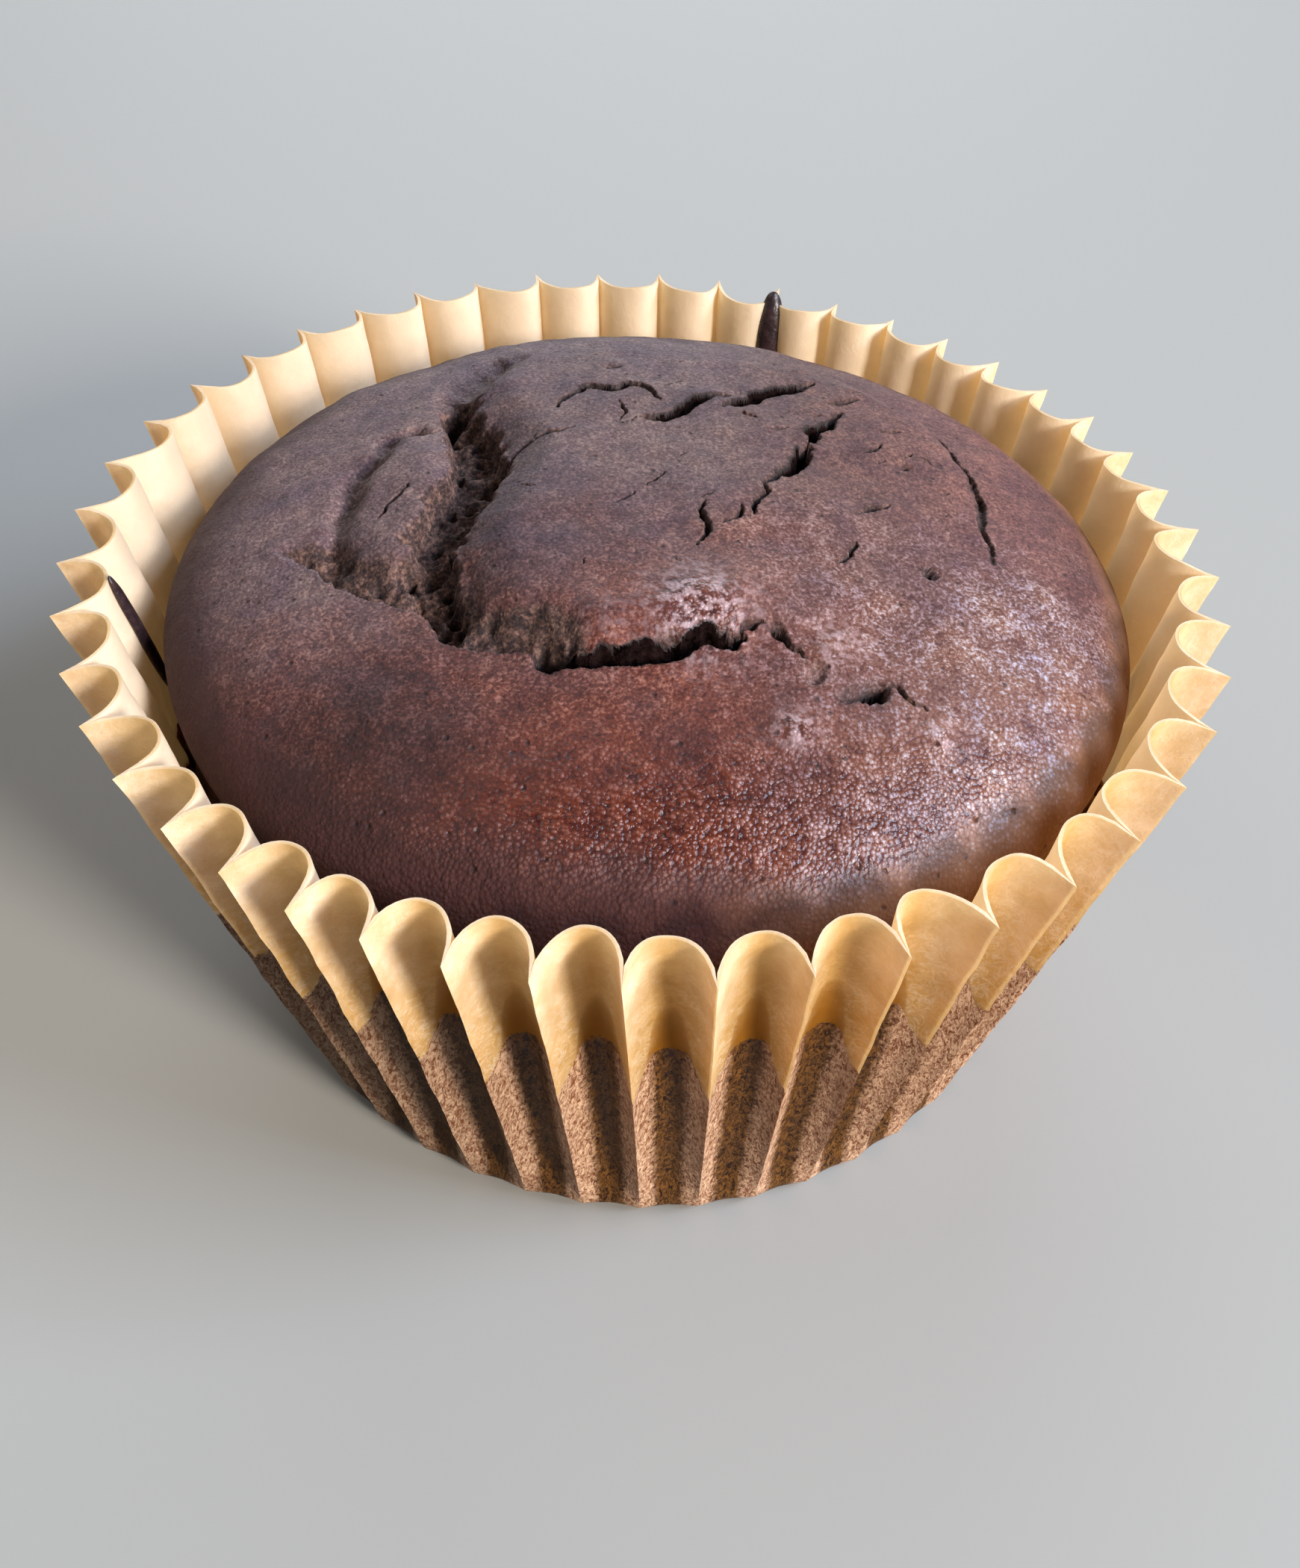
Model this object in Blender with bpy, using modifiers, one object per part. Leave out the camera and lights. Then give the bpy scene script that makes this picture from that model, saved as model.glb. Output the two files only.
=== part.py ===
"""A chocolate muffin in its pleated paper case.

Metres, +Z up, with the origin at the middle of the case's underside.
"""

from math import atan2, cos, hypot, pi, radians, sin, sqrt
from random import Random

import bmesh
import bpy
from mathutils import Vector

# Paper case: a round of greaseproof paper pressed into a cup, its wall folded into sharp creases.
PLEATS = 46
BASE_RADIUS = 0.0250
WALL_SLANT = 0.0311
PAPER = 0.00025
FLARE = radians(13.0)
PLEAT_DEPTH_BASE = 0.0009
PLEAT_DEPTH_RIM = 0.0028
LOBE_POWER = 2.3
FIRST_CREASE = radians(-151.2)
BASE_FLAT_RADIUS = 0.0232
CAKE_FLAT_RADIUS = 0.0226
PLEAT_UNEVENNESS = 0.07

# Slow changes round the case, each as (waves per turn, size, angle of its peak).
FLARE_WAVES = (
    (1, radians(2.5), radians(187)),
    (2, radians(1.7), radians(-20)),
    (3, radians(0.5), radians(12)),
)
CREASE_DRIFT = (
    (1, radians(0.8), radians(110)),
    (2, radians(1.3), radians(15)),
    (3, radians(1.2), radians(-18)),
)

# Cake: it fills the pleats up to the contact line, where it eases off the paper, and its crown rises free.
GAP = 0.00035
CONTACT_CLIMB = 0.62
CONTACT_EASE = 0.0002
SKIRT_HEIGHT = 0.0226
SKIRT_RADIUS = 0.0264
SHOULDER_HEIGHT = 0.0263
SHOULDER_RADIUS = 0.0273
CROWN_WAVES = (
    (1, 0.0006, radians(200)),
    (2, 0.00035, radians(-8)),
)
DOME_RISE = 0.0069
DOME_ROUND_OUT = 2.3
DOME_ROUND_UP = 0.49
CROWN_COLUMNS = PLEATS * 2

# Crust: the middle of the crown broke away as a plate and rose, and a small island split off beside it.
PLATE_CENTRE = (0.0035, 0.0015)
PLATE_RADIUS = 0.0150
PLATE_LIFT = 0.0012
PLATE_EDGE = 0.0022
PLATE_FADE_AT = radians(-35)
PLATE_FADE_SPAN = radians(40)
ISLAND_CENTRE = (-0.0150, -0.0008)
ISLAND_HALF = (0.0026, 0.0062)
ISLAND_LIFT = 0.0009
ISLAND_FOOT = 1.5

# Fissures: (width, depth, points in plan) of the splits that the rising plate tore in the crust.
CUT_ABOVE = 0.0012
FISSURE_TIP = 0.25
FISSURES = {
    "canyon": (0.0034, 0.0028, ((-0.0126, 0.0128), (-0.0125, 0.0085), (-0.0110, 0.0040),
                                (-0.0113, 0.0), (-0.0119, -0.0050), (-0.0110, -0.0105))),
    "island_moat": (0.0015, 0.0014, ((-0.0120, 0.0058), (-0.0160, 0.0064), (-0.0184, 0.0024),
                                     (-0.0184, -0.0028), (-0.0160, -0.0072), (-0.0112, -0.0080))),
    "front_split": (0.0012, 0.0025, ((-0.0114, -0.0085), (-0.0082, -0.0120), (-0.0050, -0.0134),
                                     (-0.0015, -0.0128), (0.0022, -0.0114), (0.0050, -0.0118))),
    "right_split": (0.0007, 0.0013, ((0.0146, 0.0126), (0.0170, 0.0098), (0.0183, 0.0061),
                                     (0.0180, 0.0014), (0.0186, -0.0026))),
    "back_crack": (0.0009, 0.0015, ((-0.0016, 0.0068), (0.0012, 0.0079), (0.0035, 0.0094),
                                    (0.0064, 0.0114), (0.0088, 0.0128))),
    "middle_crack": (0.0009, 0.0015, ((0.0102, 0.0094), (0.0088, 0.0071), (0.0073, 0.0036),
                                      (0.0053, 0.0009), (0.0046, -0.0022))),
}
BLISTER_HOLE = (0.0107, -0.0135)
BLISTER_RADIUS = 0.0011
BLISTER_DEPTH = 0.0016

# Drips: batter that ran up the inside of the paper and baked there.
BACK_DRIP_PLEAT = 29.0
BACK_DRIP_CLIMBS = (0.87, 0.93, 0.98, 1.0)
LEFT_DRIP_PLEAT = 43.5
LEFT_DRIP_CLIMBS = (0.86, 0.92, 0.98, 1.0)
DRIP_WIDTH = 0.0009
DRIP_THICKNESS = 0.0005
DRIP_FACE_SHARE = 0.7
DRIP_END_POWER = 6
DRIP_END_LEAST = 0.15
FOLD_FILLED_FROM = 0.85

PAPER_COLUMNS = (0.0, 0.12, 0.3, 0.5, 0.7, 0.88)
CAKE_COLUMNS = (0.0, 0.22, 0.36, 0.5, 0.64, 0.78)
PAPER_CLIMBS = (0.0, 0.5, 1.0)
CAKE_SIDES = ((0.022, 0.0), (0.33, 0.0), (CONTACT_CLIMB, CONTACT_EASE))
CROWN_RINGS = (1.0, 0.985, 0.95, 0.895, 0.82, 0.74, 0.66, 0.57, 0.46, 0.33, 0.18)

rng = Random(46)
lobe_size = [1 + PLEAT_UNEVENNESS * rng.uniform(-1, 1) for _ in range(PLEATS)]


def waves(angle, table):
    return sum(size * cos(count * (angle - peak)) for count, size, peak in table)


def smooth(x):
    x = min(max(x, 0.0), 1.0)
    return x * x * (3 - 2 * x)


def wall_point(place, climb):
    """place counts pleats round the case, from crease to crease; climb is 0 at the base and 1 at the rim."""
    nominal = FIRST_CREASE + 2 * pi * place / PLEATS
    angle = nominal + climb * waves(nominal, CREASE_DRIFT)
    flare = FLARE + waves(nominal, FLARE_WAVES)
    across = abs(2 * (place % 1.0) - 1)
    lobe = (1 - across**LOBE_POWER) * lobe_size[int(place) % PLEATS]
    depth = PLEAT_DEPTH_BASE + (PLEAT_DEPTH_RIM - PLEAT_DEPTH_BASE) * climb
    run_out = climb * WALL_SLANT * sin(flare) - (depth - PLEAT_DEPTH_BASE) * lobe
    radius = BASE_RADIUS - PLEAT_DEPTH_BASE * lobe + run_out
    height = sqrt((climb * WALL_SLANT) ** 2 - run_out**2)
    return Vector((radius * cos(angle), radius * sin(angle), height))


def wall_ring(climb, columns):
    return [wall_point(pleat + column, climb) for pleat in range(PLEATS) for column in columns]


def inset(ring, distance):
    """The ring moved in square to its sides, with mitred corners."""
    moved = []
    for i, point in enumerate(ring):
        before = (point - ring[i - 1]).to_2d().normalized()
        after = (ring[(i + 1) % len(ring)] - point).to_2d().normalized()
        first = Vector((-before.y, before.x))
        second = Vector((-after.y, after.x))
        mitre = (first + second).normalized()
        step = mitre * (distance / mitre.dot(first))
        moved.append(Vector((point.x + step.x, point.y + step.y, point.z)))
    return moved


def round_ring(ring, radius, height):
    """A plain circle with a point under each point of the ring."""
    flat = [point.to_2d().normalized() * radius for point in ring]
    return [Vector((point.x, point.y, height)) for point in flat]


def relief(x, y):
    """How far the crust stands over the plain dome: the raised plate, and the island beside it."""
    from_plate = Vector((x - PLATE_CENTRE[0], y - PLATE_CENTRE[1]))
    edge = smooth((PLATE_RADIUS - from_plate.length) / PLATE_EDGE)
    facing = from_plate.angle(Vector((cos(PLATE_FADE_AT), sin(PLATE_FADE_AT))), 0.0)
    plate = PLATE_LIFT * edge * smooth(facing / PLATE_FADE_SPAN)
    centred = PLATE_LIFT * smooth(1 - from_plate.length / PLATE_RADIUS)
    island_reach = hypot((x - ISLAND_CENTRE[0]) / ISLAND_HALF[0], (y - ISLAND_CENTRE[1]) / ISLAND_HALF[1])
    return max(plate, centred) + ISLAND_LIFT * smooth(ISLAND_FOOT - island_reach)


def crust_height(x, y):
    shoulder = SHOULDER_RADIUS + waves(atan2(y, x), CROWN_WAVES)
    share = min(hypot(x, y) / shoulder, 1.0)
    dome = DOME_RISE * (1 - share**DOME_ROUND_OUT) ** DOME_ROUND_UP
    return SHOULDER_HEIGHT + dome + relief(x, y)


def crown_point(share, angle):
    """share is 1 at the shoulder and 0 at the middle of the crown."""
    radius = share * (SHOULDER_RADIUS + waves(angle, CROWN_WAVES))
    x = radius * cos(angle)
    y = radius * sin(angle)
    return Vector((x, y, crust_height(x, y)))


def crown_angles():
    return [FIRST_CREASE + 2 * pi * i / CROWN_COLUMNS for i in range(CROWN_COLUMNS)]


def skirt_point(angle):
    radius = SKIRT_RADIUS + waves(angle, CROWN_WAVES)
    return Vector((radius * cos(angle), radius * sin(angle), SKIRT_HEIGHT))


def loft(bm, rings):
    """Joins rings from the lowest up; a ring may have several times the points of the next."""
    loops = [[bm.verts.new(point) for point in ring] for ring in rings]
    for low, high in zip(loops, loops[1:]):
        ratio = len(low) // len(high)
        for i in range(len(high)):
            fan = [low[(i * ratio + step) % len(low)] for step in range(ratio + 1)]
            near = high[i]
            far = high[(i + 1) % len(high)]
            middle = (ratio + 1) // 2
            for start, end in zip(fan[:middle], fan[1:middle + 1]):
                if ratio == 1:
                    bm.faces.new((start, end, far, near))
                else:
                    bm.faces.new((start, end, near))
            if ratio > 1:
                bm.faces.new((fan[middle], far, near))
                for start, end in zip(fan[middle:], fan[middle + 1:]):
                    bm.faces.new((start, end, far))
    return loops


def add_object(name, bm, material, collection):
    mesh = bpy.data.meshes.new(name)
    bm.to_mesh(mesh)
    bm.free()
    obj = bpy.data.objects.new(name, mesh)
    collection.objects.link(obj)
    if material:
        mesh.materials.append(material)
    return obj


def make_material(name, colour, roughness):
    material = bpy.data.materials.new(name)
    material.use_nodes = True
    shader = material.node_tree.nodes["Principled BSDF"]
    shader.inputs["Base Color"].default_value = (*colour, 1.0)
    shader.inputs["Roughness"].default_value = roughness
    shader.inputs["Metallic"].default_value = 0.0
    return material


def make_paper_case(collection):
    bm = bmesh.new()
    rings = [wall_ring(climb, PAPER_COLUMNS) for climb in PAPER_CLIMBS]
    rings.insert(0, round_ring(rings[0], BASE_FLAT_RADIUS, 0.0))
    loops = loft(bm, rings)
    bm.faces.new(reversed(loops[0]))
    case = add_object("paper_case", bm, make_material("case_paper", (0.80, 0.62, 0.36), 0.75), collection)
    shell = case.modifiers.new("Thickness", "SOLIDIFY")
    shell.thickness = PAPER
    shell.offset = -1.0
    shell.solidify_mode = "NON_MANIFOLD"
    shell.nonmanifold_thickness_mode = "CONSTRAINTS"
    return case


def make_cake(collection):
    bm = bmesh.new()
    clear = PAPER + GAP
    sides = [inset(wall_ring(climb, CAKE_COLUMNS), clear + ease) for climb, ease in CAKE_SIDES]
    underside = round_ring(sides[0], CAKE_FLAT_RADIUS, clear)
    skirt = [skirt_point(angle) for angle in crown_angles()]
    crown = [[crown_point(share, angle) for angle in crown_angles()] for share in CROWN_RINGS]
    loops = loft(bm, [underside, *sides, skirt, *crown])
    bm.faces.new(reversed(loops[0]))
    peak = bm.verts.new(crown_point(0.0, 0.0))
    for i, near in enumerate(loops[-1]):
        bm.faces.new((near, loops[-1][(i + 1) % CROWN_COLUMNS], peak))
    return add_object("muffin_cake", bm, make_material("cake_crust", (0.075, 0.032, 0.022), 0.5), collection)


def make_fissure(name, width, depth, path, collection):
    """A wedge along the path, widest and deepest midway, that tapers to a point at both ends."""
    bm = bmesh.new()
    sections = []
    for i, (x, y) in enumerate(path):
        before = Vector(path[max(i - 1, 0)])
        after = Vector(path[min(i + 1, len(path) - 1)])
        along = (after - before).normalized()
        side = Vector((-along.y, along.x, 0.0))
        size = FISSURE_TIP + (1 - FISSURE_TIP) * sin(pi * (i + 0.5) / len(path))
        crust = crust_height(x, y)
        half = side * (width * size / 2) * (1 + CUT_ABOVE / depth)
        top = Vector((x, y, crust + CUT_ABOVE))
        bottom = Vector((x, y, crust - depth * size))
        sections.append([bm.verts.new(top - half), bm.verts.new(top + half), bm.verts.new(bottom)])
    for first, second in zip(sections, sections[1:]):
        for i in range(3):
            j = (i + 1) % 3
            bm.faces.new((first[i], first[j], second[j], second[i]))
    bm.faces.new(reversed(sections[0]))
    bm.faces.new(sections[-1])
    bmesh.ops.recalc_face_normals(bm, faces=bm.faces)
    return add_object(f"cut_{name}", bm, None, collection)


def make_blister(collection):
    bm = bmesh.new()
    bmesh.ops.create_uvsphere(bm, u_segments=10, v_segments=6, radius=BLISTER_RADIUS)
    blister = add_object("cut_blister", bm, None, collection)
    x, y = BLISTER_HOLE
    blister.location = (x, y, crust_height(x, y) + BLISTER_RADIUS - BLISTER_DEPTH)
    return blister


def cut(obj, cutters):
    for cutter in cutters:
        cutter.hide_render = True
        cutter.display_type = "WIRE"
        boolean = obj.modifiers.new(cutter.name, "BOOLEAN")
        boolean.operation = "DIFFERENCE"
        boolean.solver = "EXACT"
        boolean.object = cutter


def make_drip(name, place, climbs, stand_off, material, collection):
    """A flat run of batter up one pleat, with a round end at the rim, standing off the sheet."""
    bm = bmesh.new()
    sections = []
    for climb in climbs:
        centre = wall_point(place, climb)
        inward = Vector((-centre.x, -centre.y, 0.0)).normalized()
        across = Vector((-inward.y, inward.x, 0.0))
        risen = (climb - climbs[0]) / (climbs[-1] - climbs[0])
        taper = sqrt(max(1.0 - risen**DRIP_END_POWER, DRIP_END_LEAST))
        half = across * (DRIP_WIDTH / 2 * taper)
        back = centre + inward * stand_off
        front = back + inward * DRIP_THICKNESS
        face = half * DRIP_FACE_SHARE
        corners = (back - half, back + half, front + face, front - face)
        sections.append([bm.verts.new(corner) for corner in corners])
    for low, high in zip(sections, sections[1:]):
        for i in range(4):
            j = (i + 1) % 4
            bm.faces.new((low[i], low[j], high[j], high[i]))
    bm.faces.new(reversed(sections[0]))
    bm.faces.new(sections[-1])
    bmesh.ops.recalc_face_normals(bm, faces=bm.faces)
    return add_object(name, bm, material, collection)


def main():
    for obj in list(bpy.data.objects):
        bpy.data.objects.remove(obj, do_unlink=True)
    parts = bpy.data.collections.new("muffin")
    cutters = bpy.data.collections.new("cutters")
    bpy.context.scene.collection.children.link(parts)
    bpy.context.scene.collection.children.link(cutters)

    make_paper_case(parts)
    cake = make_cake(parts)
    cuts = [make_fissure(name, *sizes, cutters) for name, sizes in FISSURES.items()]
    cut(cake, [*cuts, make_blister(cutters)])
    burnt = make_material("baked_drip", (0.030, 0.014, 0.014), 0.4)
    lobe_clear = PAPER + GAP
    crease_clear = PLEAT_DEPTH_RIM * FOLD_FILLED_FROM
    make_drip("batter_drip_back", BACK_DRIP_PLEAT, BACK_DRIP_CLIMBS, crease_clear, burnt, parts)
    make_drip("batter_drip_left", LEFT_DRIP_PLEAT, LEFT_DRIP_CLIMBS, lobe_clear, burnt, parts)


main()
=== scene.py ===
from math import atan2, cos, exp, hypot, pi, radians, sin, sqrt
from random import Random

import bpy
from mathutils import Matrix, Vector, kdtree, noise


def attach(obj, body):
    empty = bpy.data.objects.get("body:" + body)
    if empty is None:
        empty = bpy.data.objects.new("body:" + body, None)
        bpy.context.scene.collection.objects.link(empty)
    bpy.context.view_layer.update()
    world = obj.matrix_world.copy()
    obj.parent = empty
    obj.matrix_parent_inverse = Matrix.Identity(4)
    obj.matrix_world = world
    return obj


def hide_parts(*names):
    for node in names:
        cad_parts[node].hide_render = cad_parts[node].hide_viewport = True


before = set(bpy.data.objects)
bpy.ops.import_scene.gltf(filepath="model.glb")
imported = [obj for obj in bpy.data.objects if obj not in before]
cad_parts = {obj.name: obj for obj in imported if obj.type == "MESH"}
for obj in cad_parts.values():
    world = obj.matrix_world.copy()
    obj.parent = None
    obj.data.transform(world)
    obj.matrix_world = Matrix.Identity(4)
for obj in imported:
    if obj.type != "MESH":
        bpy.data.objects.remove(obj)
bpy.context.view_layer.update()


# Viewpoint, floor and light.
# The muffin stands on a plain pale table top and is seen from close by, from above its front edge. Low warm
# daylight comes from the front right, blue sky from the right and from behind, and the room gives the rest.
EYE = (-0.00014, -0.07208, 0.08432)
EYE_DOWN = radians(45.54)
EYE_TURN = radians(0.115)
EYE_TILT = radians(2.85)
LENS = 36.0
NEAREST = 0.005
AIR_COLOUR = (0.95, 0.93, 0.90)
AIR_STRENGTH = 0.13
FLOOR_SIZE = 3.0
FLOOR_DROP = 0.00002
FLOOR_COLOUR = (0.335, 0.318, 0.290)
FLOOR_ROUGHNESS = 0.7

bpy.context.scene.view_settings.view_transform = "Standard"

bpy.ops.object.camera_add()
camera = bpy.context.object
camera.name = "eye"
camera.matrix_world = (Matrix.Translation(EYE) @ Matrix.Rotation(-EYE_TURN, 4, "Z")
                       @ Matrix.Rotation(pi / 2 - EYE_DOWN, 4, "X") @ Matrix.Rotation(EYE_TILT, 4, "Z"))
camera.data.lens = LENS
camera.data.clip_start = NEAREST
bpy.context.scene.camera = camera


def soft_light(name, place, aim, width, height, power, colour):
    bpy.ops.object.light_add(type="AREA", location=place)
    light = bpy.context.object
    light.name = name
    light.rotation_euler = (Vector(aim) - Vector(place)).to_track_quat("-Z", "Y").to_euler()
    light.data.shape = "RECTANGLE"
    light.data.size = width
    light.data.size_y = height
    light.data.energy = power
    light.data.color = colour


soft_light("window", (0.68, -0.64, 0.46), (0, 0, 0.02), 0.20, 0.26, 16.0, (1.0, 0.96, 0.90))
soft_light("sky", (0.68, -0.12, 0.65), (0, 0, 0.03), 0.44, 0.38, 11.5, (0.60, 0.76, 1.0))
soft_light("sky_behind", (-0.10, 0.95, 0.30), (0, 0, 0.03), 0.80, 0.34, 6.8, (0.84, 0.91, 1.0))
soft_light("room", (-0.62, 0.12, 0.58), (0, 0, 0.02), 0.60, 0.60, 1.7, (1.0, 0.98, 0.95))

world = bpy.data.worlds.new("room_air")
bpy.context.scene.world = world
world.use_nodes = True
air = world.node_tree.nodes["Background"].inputs
air["Color"].default_value = (*AIR_COLOUR, 1)
air["Strength"].default_value = AIR_STRENGTH

bpy.ops.object.select_all(action="DESELECT")
bpy.ops.mesh.primitive_plane_add(size=FLOOR_SIZE, location=(0, 0, -FLOOR_DROP))
floor = bpy.context.object
floor.name = "table_top"
bpy.ops.object.transform_apply(location=True, rotation=True, scale=True)
table_finish = bpy.data.materials.new("pale_table")
table_finish.use_nodes = True
table_shader = table_finish.node_tree.nodes["Principled BSDF"].inputs
table_shader["Base Color"].default_value = (*FLOOR_COLOUR, 1)
table_shader["Roughness"].default_value = FLOOR_ROUGHNESS
floor.data.materials.append(table_finish)


# Paper case.
# A round of greaseproof paper pressed into a cup: a flat base and a wall folded into sharp pleats that open
# towards the rim. Light comes through it where it stands free, and fat has soaked it brown along the cake.
PLEATS = 46
BASE_RADIUS = 0.0250
BASE_FLAT_RADIUS = 0.0222
BASE_MIDDLE_RADIUS = 0.0020
WALL_SLANT = 0.0311
FLARE = radians(13.0)
PLEAT_DEPTH_BASE = 0.0009
PLEAT_DEPTH_RIM = 0.0028
LOBE_POWER_LOW = 1.55
LOBE_POWER_RIM = 2.3
FIRST_CREASE = radians(-151.2)
PLEAT_SEED = 46
PLEAT_UNEVENNESS = 0.07
PLEAT_LEAN = 0.12
RIM_SQUARENESS = 0.45
SQUARE_POWER = 8
# Slow changes round the case, as count of waves, size and angle of the peak.
FLARE_WAVES = (
    (1, radians(2.5), radians(187)),
    (2, radians(1.7), radians(-20)),
    (3, radians(0.5), radians(12)),
)
CREASE_DRIFT = (
    (1, radians(0.8), radians(110)),
    (2, radians(1.3), radians(15)),
    (3, radians(1.2), radians(-18)),
)
FOOT_ROUND = 0.0010
FOOT_DEPTH_SHARE = 0.20
FOOT_FADE = 0.17
SHEET_THICKNESS = 0.00019
INWARD = -1
SHEET_COLUMNS = 18
SHEET_ROWS = 52
ROW_CROWDING = 1.35
BASE_ROWS = 3
CRUMPLE = 0.00012
CRUMPLE_SPAN = 0.0026
CREPE = 0.00003
CREPE_SPAN = 0.0007
CRUMPLE_FULL_AT = 0.25
CUT_WANDER = 0.00022
CUT_BAND = 0.1
OTHER_NOISE = Vector((7, 0, 0))
MERGE_WITHIN = 0.00001
SHARP_OVER = radians(50)
MILLIMETRE = 0.001
# The cake leaves the paper at this climb. The soak line lies above it, and dips at the creases.
CONTACT_CLIMB = 0.62
SOAK_RISE = 0.04
SOAK_AT_CREASE = -0.085
SOAK_WANDER = 0.012
SOAK_WANDER_SPAN = 0.002

# The free paper's tones are partly painted light: cream for the lit rim, gold and low for paper in shade with
# light through it, and inside paler where it is lit.
PAPER_CREAM = (0.85, 0.67, 0.42)
PAPER_GOLD = (0.68, 0.44, 0.16)
PAPER_LOW = (0.52, 0.28, 0.05)
PAPER_INSIDE = (0.84, 0.80, 0.71)
FIBRE = (0.92, 0.82, 0.62)
THREAD = (0.97, 0.90, 0.74)
# A tongue up each lobe: partly fat, partly painted shade.
FAT_AND_SHADE_TONGUE = (0.310, 0.125, 0.012)
# Dark and light streaks of the soaked paper: the dark in the folds is partly painted shade, the light on the
# ridges partly a painted sheen.
SOAKED_FOLD_AND_SHADE = ((0.014, 0.004, 0.001), (0.190, 0.076, 0.015))
SOAKED_RIDGE_AND_SHEEN = ((0.200, 0.062, 0.020), (0.760, 0.480, 0.300))
GLOW_DRY = (1.0, 0.80, 0.50)
GLOW_SOAKED = (0.60, 0.16, 0.02)

pleat_dice = Random(PLEAT_SEED)
lobe_size = [1 + PLEAT_UNEVENNESS * pleat_dice.uniform(-1, 1) for _ in range(PLEATS)]
lobe_lean = [PLEAT_LEAN * pleat_dice.uniform(-1, 1) for _ in range(PLEATS)]
lobe_soak = [pleat_dice.uniform(-1, 1) for _ in range(PLEATS)]


def waves(angle, table):
    return sum(size * cos(count * (angle - peak)) for count, size, peak in table)


def smooth(x):
    x = min(max(x, 0.0), 1.0)
    return x * x * (3 - 2 * x)


def across_lobe(place, climb):
    """1 at a crease and 0 at the crest of a lobe, which leans a little to one side."""
    part = place % 1.0
    lean = lobe_lean[int(place) % PLEATS] * climb
    return abs(2 * (part + lean * 4 * part * (1 - part)) - 1)


def case_wall(place, climb, inward=0.0):
    """place counts pleats round the case, and climb goes from 0 at the base to 1 at the rim."""
    nominal = FIRST_CREASE + 2 * pi * place / PLEATS
    angle = nominal + climb * waves(nominal, CREASE_DRIFT)
    flare = FLARE + waves(nominal, FLARE_WAVES)

    # How far the pleat is open here: the lobes are round low down and squarer at the rim.
    across = across_lobe(place, climb)
    square = RIM_SQUARENESS * climb
    power = LOBE_POWER_LOW + (LOBE_POWER_RIM - LOBE_POWER_LOW) * climb**2
    lobe = 1 - (1 - square) * across**power - square * across**SQUARE_POWER
    lobe *= lobe_size[int(place) % PLEATS]

    # The slanted wall, whose foot turns under into the base and is nearly free of pleats.
    depth = PLEAT_DEPTH_BASE + (PLEAT_DEPTH_RIM - PLEAT_DEPTH_BASE) * climb
    run_out = climb * WALL_SLANT * sin(flare) - (depth - PLEAT_DEPTH_BASE) * lobe
    foot_share = FOOT_DEPTH_SHARE + (1 - FOOT_DEPTH_SHARE) * smooth(climb / FOOT_FADE)
    under = max(1 - climb * WALL_SLANT / FOOT_ROUND, 0.0)
    radius = BASE_RADIUS - PLEAT_DEPTH_BASE * foot_share * lobe + run_out
    radius -= FOOT_ROUND * (1 - sqrt(1 - under**2))
    height = sqrt((climb * WALL_SLANT) ** 2 - run_out**2)

    # A step inward is longer where the pleat's side slopes, so that the gap keeps its width.
    steepness = (1 - square) * power * across ** (power - 1)
    steepness += square * SQUARE_POWER * across ** (SQUARE_POWER - 1)
    slope = depth * steepness * PLEATS / (pi * radius)
    radius -= inward * sqrt(1 + slope**2)
    return Vector((radius * cos(angle), radius * sin(angle), height))


def base_point(place, radius):
    angle = FIRST_CREASE + 2 * pi * place / PLEATS
    return Vector((radius * cos(angle), radius * sin(angle), 0.0))


def crumpled(point, climb):
    """The small unevenness that pressing and baking leave in the sheet, which grows towards the rim."""
    away = Vector((point.x, point.y, 0.0)).normalized()
    big = CRUMPLE * noise.noise(point / CRUMPLE_SPAN)
    small = CREPE * noise.noise(point / CREPE_SPAN)
    cut = CUT_WANDER * noise.noise(point / CRUMPLE_SPAN + OTHER_NOISE)
    up = Vector((0, 0, cut * smooth((climb - 1 + CUT_BAND) / CUT_BAND)))
    return point + away * (big + small) * smooth(climb / CRUMPLE_FULL_AT) + up


def turn_faces_outward():
    bpy.ops.object.mode_set(mode="EDIT")
    bpy.ops.mesh.select_all(action="SELECT")
    bpy.ops.mesh.normals_make_consistent(inside=False)
    bpy.ops.object.mode_set(mode="OBJECT")


bpy.ops.object.select_all(action="DESELECT")
columns = PLEATS * SHEET_COLUMNS
rows = SHEET_ROWS + BASE_ROWS
bpy.ops.mesh.primitive_grid_add(x_subdivisions=columns, y_subdivisions=rows, size=1)
case = bpy.context.object
case.name = "case_sheet"
crease_map = case.data.attributes.new("crease", "FLOAT", "POINT")
soak_map = case.data.attributes.new("soak", "FLOAT", "POINT")
for vertex in case.data.vertices:
    place = round((vertex.co.x + 0.5) * columns) / SHEET_COLUMNS
    row = round((vertex.co.y + 0.5) * rows)
    climb = (max(row - BASE_ROWS, 0) / SHEET_ROWS) ** ROW_CROWDING
    across = across_lobe(place, climb)
    if row < BASE_ROWS:
        share = row / (BASE_ROWS - 1)
        vertex.co = base_point(place, BASE_MIDDLE_RADIUS + share * (BASE_FLAT_RADIUS - BASE_MIDDLE_RADIUS))
    else:
        vertex.co = crumpled(case_wall(place, climb), climb)
    wander = lobe_soak[int(place) % PLEATS] * (1 - across) + noise.noise(vertex.co / SOAK_WANDER_SPAN) / 2
    soak_line = CONTACT_CLIMB + SOAK_RISE + SOAK_WANDER * wander
    soak_line += SOAK_AT_CREASE * smooth((across - 0.45) / 0.5)
    crease_map.data[vertex.index].value = across
    soak_map.data[vertex.index].value = (climb - soak_line) * WALL_SLANT / MILLIMETRE

bpy.ops.object.mode_set(mode="EDIT")
bpy.ops.mesh.select_all(action="SELECT")
bpy.ops.mesh.remove_doubles(threshold=MERGE_WITHIN)
bpy.ops.mesh.select_all(action="DESELECT")
bpy.ops.object.mode_set(mode="OBJECT")

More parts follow.
